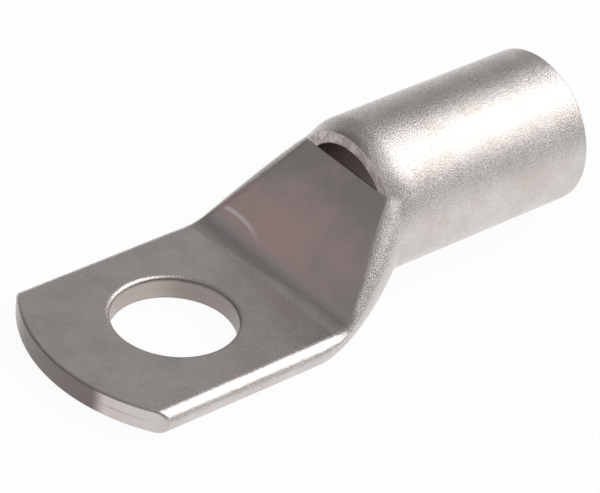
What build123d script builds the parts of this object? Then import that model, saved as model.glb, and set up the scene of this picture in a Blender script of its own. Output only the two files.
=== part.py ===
"""Tube cable lug for a 35 square millimetre conductor and an M8 bolt.

The lug is one length of copper tube. One end is left round and takes the bared
conductor. The other end is pressed flat into a palm with a bolt hole. Between
them the press leaves a sloping neck, and shears the upper wall open into a
small inspection window under the rounded shoulder of the barrel.

Frame: origin at the middle of the bolt hole on the contact face, +X towards
the mouth of the barrel, +Z up. Lengths are in millimetres.
"""

import os
from math import acos, asin, atan2, cos, pi, radians, sqrt, tan

from build123d import *

# The tube
tube_diameter = 10.8
wall = 0.9
mouth_x = 31.0
mouth_outer_chamfer = 0.2
mouth_inner_chamfer = 0.3
underside_gap = 0.25  # the barrel stays this far above the contact face

# The palm
palm_width = 15.9
palm_thickness = 1.75
tip_x = -9.5
tip_radius = 12.75
tip_chamfer = 0.12
bolt_hole = 8.4
upper_rim = 0.25
lower_chamfer = 0.15

# The pressed neck, which narrows from the palm to the barrel
neck_start_x = 5.0
belly_start_x = 6.3
neck_overrun = 0.7  # past the window the lower half is still turning round
width_power = 2.0
belly_power = 1.35
keel_half = 2.0  # half the strip of the underside that turns round last

# The sloping face, from the crease at the palm to the straight edge of the window
crease_x = 8.15
crease_radius = 1.8
window_x = 13.8
window_z = 8.3
side_tilt = radians(30)  # how steeply the face's sides drop away beside the window

# The rounded shoulder of the barrel, which ends in a crescent over the window
crescent_radius = 4.8
crescent_wall = 0.8
shoulder_length = 1.7

# The slit where the two walls of the neck come together
slit_height = 0.12
slit_margin = 0.15

# Worked out from the sizes above
tube_radius = tube_diameter / 2
bore_radius = tube_radius - wall
axis_z = tube_radius + underside_gap
palm_flat_half = (palm_width - palm_thickness) / 2
slope = atan2(window_z - palm_thickness, window_x - crease_x)
crease_length = crease_radius * tan(slope / 2)
root_x = crease_x - crease_length
slope_x = crease_x + crease_length * cos(slope)
neck_end_x = window_x + neck_overrun
shoulder_x = window_x + shoulder_length
keel_turn = asin(keel_half / tube_radius)


def blend(start, end, share):
    return start + (end - start) * share


def share_of(x, start, end):
    return min(max((x - start) / (end - start), 0), 1)


def half_width(x):
    """Half the width of the neck, which leaves the palm gently and meets the barrel at a slant."""
    return blend(palm_width / 2, tube_radius, share_of(x, neck_start_x, neck_end_x) ** width_power)


def roof_z(x):
    """The palm's top runs through the crease into the straight slope."""
    if x < root_x:
        return palm_thickness
    if x < slope_x:
        return palm_thickness + crease_radius - sqrt(crease_radius**2 - (x - root_x) ** 2)
    return palm_thickness + (x - crease_x) * tan(slope)


def chord_half(radius):
    """Half the width of a circle about the barrel's axis, at the height of the window's edge."""
    return sqrt(radius**2 - (window_z - axis_z) ** 2)


def conic(start, corner, end, turn):
    """The arc that runs from start to end inside the corner, a true circle's where the sides are equal."""
    return Bezier(start, corner, end, weights=[1, cos(turn / 2), 1])


def section(x, inset, face_half, face_z, tilt, roof_radius=None):
    """A cross-section of the lug, or with an inset of the space inside it.

    The keel and the sides change from the palm's to the barrel's along the neck.
    The top is a flat face, or from the window on an arc about the barrel's axis.
    """
    belly = share_of(x, belly_start_x, neck_end_x) ** belly_power
    turn = keel_turn * share_of(x, slope_x, neck_end_x) ** 2
    rise = share_of(x, root_x, neck_end_x)
    low = inset + underside_gap * (3 * rise**2 - 2 * rise**3)
    keel = blend(palm_flat_half, keel_half, belly) * (tube_radius - inset) / tube_radius
    keel_z = low + keel * tan(turn / 2)
    half = half_width(x) - inset
    middle = blend(palm_thickness / 2, axis_z, belly)
    lower_z = keel_z + (half - keel) * tan(turn)
    upper_z = face_z - (half - face_half) * tan(tilt)
    with BuildSketch(Plane.YZ.offset(x)) as outline:
        with BuildLine():
            if turn:
                ThreePointArc((-keel, keel_z), (0, low), (keel, keel_z))
            else:
                Line((-keel, keel_z), (keel, keel_z))
            conic((keel, keel_z), (half, lower_z), (half, middle), pi / 2 - turn)
            conic((half, middle), (half, upper_z), (face_half, face_z), pi / 2 - tilt)
            if roof_radius:
                ThreePointArc((face_half, face_z), (0, axis_z + roof_radius), (-face_half, face_z))
            else:
                Line((face_half, face_z), (-face_half, face_z))
            conic((-face_half, face_z), (-half, upper_z), (-half, middle), pi / 2 - tilt)
            conic((-half, middle), (-half, lower_z), (-keel, keel_z), pi / 2 - turn)
        make_face()
    return outline.sketch


def neck_section(x):
    """The tube squeezed between the flat anvil and the sloping face of the press."""
    share = (roof_z(x) - palm_thickness) / (window_z - palm_thickness)
    face_half = blend(palm_flat_half, chord_half(crescent_radius), share)
    return section(x, 0, face_half, roof_z(x), side_tilt * share)


def shoulder_section(x, inset, start_radius):
    """From the window on, the roof rises from the crescent to the barrel."""
    share = 1 - share_of(x, shoulder_x, window_x) ** 2
    end_radius = tube_radius - inset
    roof_radius = blend(start_radius, end_radius, share)
    tilt = blend(side_tilt, acos((window_z - axis_z) / end_radius), share)
    return section(x, inset, chord_half(roof_radius), window_z, tilt, roof_radius)


def space_section(x, lower, side, upper):
    """A six-sided section of the space inside the neck, from three of its corners."""
    corners = [lower, side, upper]
    mirrored = [(-y, z) for y, z in reversed(corners)]
    with BuildSketch(Plane.YZ.offset(x)) as outline:
        with BuildLine():
            Polyline(*corners, *mirrored, close=True)
        make_face()
    return outline.sketch


def sections_between(start, end, count, make_section, *sizes):
    """Evenly spaced cross-sections for a loft, the first at start and the last at end."""
    return [make_section(blend(start, end, i / (count - 1)), *sizes) for i in range(count)]


with BuildPart() as cable_lug:
    # The palm: two walls of the tube pressed together
    with BuildSketch(Plane.YZ.offset(tip_x)):
        with Locations((0, palm_thickness / 2)):
            SlotOverall(palm_width, palm_thickness)
    extrude(amount=neck_start_x - tip_x)

    # The neck: the palm's narrowing, the crease, the straight slope, and the shoulder
    loft(sections_between(neck_start_x, root_x, 4, neck_section))
    loft(sections_between(root_x, slope_x, 4, neck_section))
    loft(sections_between(slope_x, window_x, 4, neck_section))
    loft(sections_between(window_x, shoulder_x, 4, shoulder_section, 0, crescent_radius))

    # The barrel
    with BuildSketch(Plane.YZ.offset(shoulder_x)):
        with Locations((0, axis_z)):
            Circle(tube_radius)
    extrude(amount=mouth_x - shoulder_x)

    # The bore, and the space inside the shoulder
    with BuildSketch(Plane.YZ.offset(shoulder_x)):
        with Locations((0, axis_z)):
            Circle(bore_radius)
    extrude(amount=mouth_x - shoulder_x, mode=Mode.SUBTRACT)
    inner_radius = crescent_radius - crescent_wall
    shoulder_space = sections_between(window_x, shoulder_x, 4, shoulder_section, wall, inner_radius)
    loft(shoulder_space, mode=Mode.SUBTRACT)

    # The space between the walls of the neck, which closes to a slit
    slit_x = crease_x + slit_margin
    slit_low = (palm_thickness - slit_height) / 2
    slit_half = half_width(slit_x) - wall
    slit_flat = slit_half - slit_height
    slit = space_section(
        slit_x, (slit_flat, slit_low), (slit_half, palm_thickness / 2), (slit_flat, slit_low + slit_height)
    )
    space_belly = (keel_half, underside_gap + wall)
    space_side = (half_width(window_x) - wall, axis_z - wall)
    space_roof = (chord_half(crescent_radius) - wall, window_z - wall / cos(slope))
    window_end = space_section(window_x, space_belly, space_side, space_roof)
    loft([slit, window_end], ruled=True, mode=Mode.SUBTRACT)

    # The tip, cut round, its sheared edge taken off by tumbling
    with BuildSketch() as trim:
        with Locations((tip_x, 0)):
            Rectangle(tip_radius, 2 * palm_width, align=(Align.MIN, Align.CENTER))
        with Locations((tip_x + tip_radius, 0)):
            Circle(tip_radius, mode=Mode.SUBTRACT)
    extrude(amount=palm_thickness, mode=Mode.SUBTRACT)
    tip_face = cable_lug.faces().sort_by(Axis.X)[0]
    chamfer(tip_face.edges(), tip_chamfer)

    # The bolt hole, its upper rim drawn in by the punch
    with Locations((0, 0, palm_thickness)):
        Hole(bolt_hole / 2)
    rims = cable_lug.edges(Select.LAST).filter_by(GeomType.CIRCLE).sort_by(Axis.Z)
    fillet(rims[-1], upper_rim)
    chamfer(rims[0], lower_chamfer)

    # The mouth, its edges taken off outside and opened a little for the strands
    mouth = cable_lug.edges().group_by(Axis.X)[-1].sort_by(SortBy.RADIUS)
    chamfer(mouth[-1], mouth_outer_chamfer)
    chamfer(mouth[0], mouth_inner_chamfer)

cable_lug.part.label = "cable_lug"
os.makedirs("parts", exist_ok=True)
export_step(cable_lug.part, "parts/cable_lug.step")
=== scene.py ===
"""Tinned copper tube lug, lying on its palm on a white table under studio light."""

from math import cos, pi, radians, sin

import bpy
from mathutils import Matrix, Vector

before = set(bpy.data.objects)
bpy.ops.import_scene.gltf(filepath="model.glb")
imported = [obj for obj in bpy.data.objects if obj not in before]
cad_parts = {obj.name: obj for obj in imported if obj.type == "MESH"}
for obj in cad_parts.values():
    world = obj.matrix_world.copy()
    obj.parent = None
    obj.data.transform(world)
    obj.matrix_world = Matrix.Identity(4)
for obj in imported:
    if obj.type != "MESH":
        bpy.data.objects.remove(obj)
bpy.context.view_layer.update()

# The lug
# One length of soft copper tube, pressed flat at one end, punched and cut round.
# It is tin plated after it is formed, and tumbling leaves the plating finely speckled.
# The copper shows faintly where the press has rubbed the slope, and the cut faces are duller, darker
# still where shade is painted on them and lighter where a highlight is painted.
MM = 0.001


def linear(colour):
    """An sRGB hex colour as linear red, green, blue and full alpha."""
    values = [int(colour[i : i + 2], 16) / 255 for i in (0, 2, 4)]
    return [v / 12.92 if v <= 0.04045 else ((v + 0.055) / 1.055) ** 2.4 for v in values] + [1.0]


def add_node(kind, *values, **named):
    """Adds a node to the tree in hand.

    Values or links fill its sockets in order, or by name where the name has a capital. The other
    names are its settings. A node given as a value stands for its first output.
    """
    node = tree.nodes.new("ShaderNode" + kind)
    filled = []
    for name, value in named.items():
        if name.islower():
            setattr(node, name, value)
        else:
            filled.append((node.inputs[name.replace("_", " ")], value))
    filled += zip([socket for socket in node.inputs if socket.enabled], values)
    for socket, value in filled:
        if isinstance(value, bpy.types.Node):
            value = next(output for output in value.outputs if output.enabled)
        if isinstance(value, bpy.types.NodeSocket):
            tree.links.new(value, socket)
        else:
            socket.default_value = value
    return node


def product(*parts):
    """Multiplies its parts, each a number, a node, or a place with its range.

    Such a part, (place, start, full), goes softly from 0 at start to 1 at full. It may end with
    two numbers that stand in for 0 and 1.
    """
    result = 1.0
    for part in parts:
        if isinstance(part, tuple):
            part = add_node("MapRange", *part, interpolation_type="SMOOTHSTEP")
        result = add_node("Math", result, part, operation="MULTIPLY")
    return result


tinned_copper = bpy.data.materials.new("tinned_copper")
tinned_copper.use_nodes = True
tree = tinned_copper.node_tree
tree.nodes.clear()

# Where a point of the surface lies, in millimetres, and which way it faces
coordinates = add_node("TexCoord")
place = add_node("VectorMath", coordinates.outputs["Object"], 1 / MM, operation="SCALE")
x, y, z = add_node("SeparateXYZ", place).outputs
normal = coordinates.outputs["Normal"]
split_normal = add_node("SeparateXYZ", normal)
normal_x = split_normal.outputs["X"]
normal_z = split_normal.outputs["Z"]


def distance_from(centre, stretch):
    """How far a point lies from a centre, each direction counted by its stretch."""
    offset = add_node("VectorMath", place, centre, operation="SUBTRACT")
    stretched = add_node("VectorMath", offset, stretch, operation="MULTIPLY")
    return add_node("VectorMath", stretched, operation="LENGTH")


# The different surfaces, each with the ranges where it starts and where it is full
along_palm = (1.0, 1.0, 0.0)
across_barrel = (0.0, 1.0, 1.0)
slope_direction = (-0.757, 0.0, 0.653)
slope_facing = (0.9, 0.98)
hole_centre = (0.0, 0.0, 0.0)
hole_wall_radius = (4.3, 4.24)
tip_centre = (3.25, 0.0, 0.0)
tip_radius = (12.67, 12.72)
tip_side = (0.0, -1.0)
palm_facing = (0.5, 0.7)
palm_end = (9.5, 9.0)
crescent_facing = (-0.9, -0.97)
crescent_height = (8.25, 8.3)
barrel_axis = (0.0, 0.0, 5.65)
inside_radius = (4.65, 4.55)
inside_start = (13.85, 13.95)

facing_slope = add_node("VectorMath", normal, slope_direction, operation="DOT_PRODUCT")
on_slope = product((facing_slope, *slope_facing))
from_hole = distance_from(hole_centre, along_palm)
hole_wall = product((from_hole, *hole_wall_radius))
from_tip_centre = distance_from(tip_centre, along_palm)
tip_face = product((from_tip_centre, *tip_radius), (x, *tip_side))
cut_face = add_node("Math", hole_wall, tip_face, operation="MAXIMUM")
palm_top = product((normal_z, *palm_facing), (x, *palm_end))
pressed = add_node("Math", palm_top, on_slope, operation="MAXIMUM")
pressed = add_node("Math", pressed, cut_face, operation="MAXIMUM")
crescent = product((normal_x, *crescent_facing), (z, *crescent_height))
from_axis = distance_from(barrel_axis, across_barrel)
inside = product((from_axis, *inside_radius), (x, *inside_start))

# Fine speckle, soft clouds of thicker plating, patches of wear, and short scratches from tumbling
dimple_size = 0.1  # drawn a little coarser than it is, so that it shows
cloud_size = 2.2
patch_size = 2.8
scratch_length = 1.6
scratch_width = 0.05
scratch_rarity = (0.68, 0.76)
streak_width = 0.12  # the shear's upright streaks on the cut faces
streak_stretch = (1.0, 1.0, 0.12)

dimples = add_node("TexNoise", place, Scale=1 / dimple_size, Detail=4.0, Roughness=0.75)
clouds = add_node("TexNoise", place, Scale=1 / cloud_size, Detail=5.0, Roughness=0.6)
patches = add_node("TexNoise", place, Scale=1 / patch_size, Detail=4.0, Roughness=0.6)
scratch_stretch = (1 / scratch_length, 1 / scratch_width, 1 / scratch_width)
drawn_out = add_node("VectorMath", place, scratch_stretch, operation="MULTIPLY")
scratch_grain = add_node("TexNoise", drawn_out, Scale=1.0, Detail=2.0, Roughness=0.5)
scratches = product((scratch_grain, *scratch_rarity))
streaked = add_node("VectorMath", place, streak_stretch, operation="MULTIPLY")
streaks = add_node("TexNoise", streaked, Scale=1 / streak_width, Detail=3.0, Roughness=0.6)

# The tin, a little greyer in clouds
tin_colour = linear("DDD6D2")
thin_tin_colour = linear("D2CAC5")
thin_clouds = (0.35, 0.7)

thinness = product((clouds, *thin_clouds))
plating = add_node("Mix", thinness, tin_colour, thin_tin_colour, data_type="RGBA")

# The copper shows through in patches, most of all low on the far half of the slope
slope_colour = linear("BEB4B3")
upper_slope_shade_colour = linear("B0AAA7")
copper_colour = linear("D8BDB9")
upper_slope_shade_height = (5.0, 8.0)
rubbed_centre = (9.9, 1.5, 0.0)
rubbed_stretch = (1.0, 0.3, 0.0)  # the rubbed place is longer across the slope
rubbed_reach = (3.0, 0.3)
rubbed_wear = (0.0, 0.4)
dimple_wear = 0.3
worn_through = (0.6, 1.1)

from_rubbed = distance_from(rubbed_centre, rubbed_stretch)
rubbed = add_node("MapRange", from_rubbed, *rubbed_reach, *rubbed_wear, interpolation_type="SMOOTHSTEP")
wear = add_node("Math", patches, rubbed, operation="ADD")
wear = add_node("Math", wear, product(dimples, dimple_wear), operation="ADD")
worn = product((wear, *worn_through))
# Higher up, the slope is drawn darker, a painted shade
slope_tone_and_shade = add_node(
    "Mix", product((z, *upper_slope_shade_height)), slope_colour, upper_slope_shade_colour, data_type="RGBA"
)
slope_finish = add_node("Mix", worn, slope_tone_and_shade, copper_colour, data_type="RGBA")
plating = add_node("Mix", on_slope, plating, slope_finish, data_type="RGBA")

# Painted shade in the crease, a darker band that narrows towards the near side
crease_shade_colour = linear("C2BBB9")
crease_x = 7.85
crease_slant = 0.11
crease_start = (-0.05, 0.15)
crease_end = (9.0, 8.75)
crease_facing = (0.4, 0.6)
crease_shade_share = 0.8

slanted_x = add_node("Math", x, product(y, crease_slant), operation="ADD")
past_crease = add_node("Math", slanted_x, crease_x, operation="SUBTRACT")
crease_shade = product(
    (past_crease, *crease_start), (x, *crease_end), (normal_z, *crease_facing), crease_shade_share
)
plating = add_node("Mix", crease_shade, plating, crease_shade_colour, data_type="RGBA")

# The step left by the edge of the press near the foot of the slope, drawn as a painted highlight along it
step_highlight_colour = linear("F0E6E2")
step_x = 9.34
step_y = 5.2
step_bow = 0.05
step_half_width = (0.15, 0.02)
step_near_end = (2.0, 4.4)
step_far_end = (6.6, 6.2)
step_speckle = (0.2, 0.5)

along_step = add_node("Math", y, step_y, operation="SUBTRACT")
bow = product(along_step, along_step, step_bow)
bowed_x = add_node("Math", step_x, bow, operation="SUBTRACT")
off_step = add_node("Math", x, bowed_x, operation="SUBTRACT")
off_step = add_node("Math", off_step, operation="ABSOLUTE")
step_highlight = product(
    (off_step, *step_half_width), (y, *step_near_end), (y, *step_far_end), (dimples, *step_speckle)
)
plating = add_node("Mix", step_highlight, plating, step_highlight_colour, data_type="RGBA")

# Cut faces, duller than the rest, with painted shade on the far part of the tip and on the side of the
# hole towards the neck, and a painted highlight that lightens the near end of the tip
cut_colour = linear("B9AFAA")
cut_shade_colour = linear("776F6B")
tip_shade_y = (8.0, 4.0)
hole_shade_x = (1.0, 3.5)
hole_shade_share = 0.6
tip_light_y = (-3.0, -4.2)
tip_light_share = 0.85

tip_shade = product(tip_face, (y, *tip_shade_y))
hole_shade = product(hole_wall, (x, *hole_shade_x), hole_shade_share)
cut_shade = add_node("Math", tip_shade, hole_shade, operation="MAXIMUM")
painted_tip_light = product(tip_face, (y, *tip_light_y), tip_light_share)
cut_without_tip_light = product(cut_face, add_node("Math", 1.0, painted_tip_light, operation="SUBTRACT"))
cut_finish_and_shade = add_node("Mix", cut_shade, cut_colour, cut_shade_colour, data_type="RGBA")
plating = add_node("Mix", cut_without_tip_light, plating, cut_finish_and_shade, data_type="RGBA")

# The dark seam between the two walls of the tube, half-way up the cut faces and wandering a little
seam_colour = linear("7A6F69")
seam_z = 0.875
seam_wander = 0.15
patch_middle = 0.5
seam_edge = (0.0352, 0.0132)
seam_share = 0.4

off_seam = add_node("Math", z, seam_z, operation="SUBTRACT")
off_seam = add_node("Math", off_seam, operation="ABSOLUTE")
wander = add_node("Math", patches, patch_middle, operation="SUBTRACT")
wander = add_node("Math", wander, seam_wander, operation="MULTIPLY")
off_seam = add_node("Math", off_seam, wander, operation="ADD")
seam = product(cut_face, (off_seam, *seam_edge), seam_share)
plating = add_node("Mix", seam, plating, seam_colour, data_type="RGBA")

# The sheared crescent over the window, bright with dark tears, and painted shade on the inside
crescent_colour = linear("E4DAD7")
dark_crescent_colour = linear("B8AEAB")
inside_shade_colour = linear("A89C97")
tear_size = 0.4
tears = (0.38, 0.62)

tear_grain = add_node("TexNoise", place, Scale=1 / tear_size, Detail=3.0, Roughness=0.6)
sheared = product((tear_grain, *tears))
crescent_finish = add_node("Mix", sheared, dark_crescent_colour, crescent_colour, data_type="RGBA")
plating = add_node("Mix", crescent, plating, crescent_finish, data_type="RGBA")
plating = add_node("Mix", inside, plating, inside_shade_colour, data_type="RGBA")

# The tin is satin, and rougher on the dimples, the scratches, the cut faces and the inside
dimple_range = (0.3, 0.7)
tin_roughness = (0.18, 0.3)
scratch_roughness = 0.1
cut_roughness = 0.12
inside_roughness = 0.2

roughness = add_node("MapRange", dimples, *dimple_range, *tin_roughness, interpolation_type="SMOOTHSTEP")
cut = add_node("Math", cut_face, crescent, operation="MAXIMUM")
for part, extra in [(scratches, scratch_roughness), (cut, cut_roughness), (inside, inside_roughness)]:
    roughness = add_node("Math", roughness, product(part, extra), operation="ADD")

# The relief of the speckle, smoothed by the press on the palm, the slope and the cut faces
dimple_depth = 0.04
scratch_depth = 0.15  # as a share of the dimples
press_smoothing = 0.5

height = add_node("Mix", cut_face, dimples, streaks, data_type="FLOAT")
height = add_node("Math", height, product(scratches, scratch_depth), operation="SUBTRACT")
kept = add_node("Math", 1.0, product(pressed, press_smoothing), operation="SUBTRACT")
height = product(height, kept)

# Edges a little rounded by the tumbling, and more where the metal was drawn round
edge_rounding = 0.1
rim_rounding = 0.45
rim_reach = (5.2, 5.0)
neck_rounding = 0.8
neck_start = (8.8, 9.4)
neck_end = (16.5, 15.8)
neck_sides = (3.7, 4.1)

rim = product((from_hole, *rim_reach), rim_rounding)
off_middle = add_node("Math", y, operation="ABSOLUTE")
neck = product((x, *neck_start), (x, *neck_end), (off_middle, *neck_sides), neck_rounding)
rounding = add_node("Math", rim, neck, operation="MAXIMUM")
rounding = add_node("Math", rounding, edge_rounding, operation="MAXIMUM")
rounded = add_node("Bevel", product(rounding, MM), samples=8)
bump = add_node("Bump", Strength=1.0, Distance=dimple_depth * MM, Height=height, Normal=rounded)

# All metal, but for the step's painted highlight, whose bright line is partly a plain pale one
step_highlight_paleness = 0.7

metal = add_node("Math", 1.0, product(step_highlight, step_highlight_paleness), operation="SUBTRACT")
surface = add_node("BsdfPrincipled", Base_Color=plating, Metallic=metal, Roughness=roughness, Normal=bump)
add_node("OutputMaterial", Surface=surface)

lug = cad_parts["cable_lug"]
lug.data.materials.clear()
lug.data.materials.append(tinned_copper)

# The table
# A sheet of matt white card, large enough to reach past every view. It glows a little where the
# camera or a reflection sees it, as a table lit from below does.
table_colour = linear("F4F2F0")
white = (1.0, 1.0, 1.0, 1.0)
table_half = 3.0
table_glow = 0.95

card = bpy.data.materials.new("white_card")
card.use_nodes = True
tree = card.node_tree
tree.nodes.clear()
paper = add_node("BsdfDiffuse", Color=table_colour)
glow = add_node("Emission", Color=white, Strength=1.0)
ray = add_node("LightPath")
seen = add_node("Math", ray.outputs["Is Camera Ray"], ray.outputs["Is Glossy Ray"], operation="MAXIMUM")
lit_card = add_node("MixShader", product(seen, table_glow), paper, glow)
add_node("OutputMaterial", Surface=lit_card)

bpy.ops.mesh.primitive_plane_add(size=2 * table_half, location=(0, 0, 0))
table = bpy.context.object
table.name = "table"
table.data.materials.append(card)

# The studio
# One large round softbox high on the right and a dim one by the camera, both facing the lug.
# Round them stand grey walls.
middle = Vector((10.4, 0.0, 3.3)) * MM
main_direction = Vector((0.6, -0.3, 0.74)).normalized()
main_distance = 0.5
main_diameter = 0.5
main_brightness = 3.0
fill_direction = Vector((-0.35, -0.75, 0.6)).normalized()
fill_distance = 0.6
fill_diameter = 0.36
fill_brightness = 0.35


def softbox(name, direction, distance, diameter, brightness):
    """A round lamp that faces the lug; brightness is that of its face, 1 being plain white."""
    lamp = bpy.data.lights.new(name, "AREA")
    lamp.shape = "DISK"
    lamp.size = diameter
    lamp.energy = brightness * pi * pi * (diameter / 2) ** 2
    thing = bpy.data.objects.new(name, lamp)
    bpy.context.scene.collection.objects.link(thing)
    thing.location = middle + direction * distance
    thing.rotation_euler = direction.to_track_quat("Z", "Y").to_euler()


softbox("main_softbox", main_direction, main_distance, main_diameter, main_brightness)
softbox("fill_softbox", fill_direction, fill_distance, fill_diameter, fill_brightness)

# The walls are lighter at the mouth's end and at the tip's end, and dark on the near side.
# Each has the range of directions where it changes, and its brightness at both ends of that.
mouth_wall = (-0.2, 0.6, 0.2, 0.36)
tip_wall = (-0.1, -0.8, 0.0, 0.2)
near_wall = (-0.55, -0.8, 1.0, 0.3)

world = bpy.data.worlds.new("grey_studio")
bpy.context.scene.world = world
world.use_nodes = True
tree = world.node_tree
tree.nodes.clear()
toward = add_node("SeparateXYZ", add_node("TexCoord").outputs["Generated"])
end_walls = add_node(
    "Math",
    product((toward.outputs["X"], *mouth_wall)),
    product((toward.outputs["X"], *tip_wall)),
    operation="ADD",
)
wall_level = product(end_walls, (toward.outputs["Y"], *near_wall))
ray = add_node("LightPath")
wall_level = add_node("Math", wall_level, ray.outputs["Is Camera Ray"], operation="MAXIMUM")
walls = add_node("Background", Color=white, Strength=wall_level)
add_node("OutputWorld", Surface=walls)

bpy.context.scene.view_settings.view_transform = "Standard"

# The camera
# The photo's own view, from the tip's side and looking down at about 35 degrees. It is a little
# tilted, and it stands so far off that the lug keeps its proportions.
azimuth = radians(-44.310)
elevation = radians(35.193)
roll = radians(7.030)
camera_distance = 271.38 * MM
target = Vector((10.404, 0.0, 3.261)) * MM
focal_share = 4138.52 / 600  # focal length over the picture's width

back = Vector((sin(azimuth) * cos(elevation), -cos(azimuth) * cos(elevation), sin(elevation)))
level_right = Vector((cos(azimuth), sin(azimuth), 0.0))
level_up = back.cross(level_right)
right = level_right * cos(roll) + level_up * sin(roll)
up = level_up * cos(roll) - level_right * sin(roll)

lens = bpy.data.cameras.new("camera")
lens.sensor_width = 36.0
lens.lens = lens.sensor_width * focal_share
lens.clip_start = 0.01
lens.clip_end = 20.0
camera = bpy.data.objects.new("camera", lens)
bpy.context.scene.collection.objects.link(camera)
turn = Matrix((right, up, back)).transposed().to_4x4()
camera.matrix_world = Matrix.Translation(target + back * camera_distance) @ turn
bpy.context.scene.camera = camera
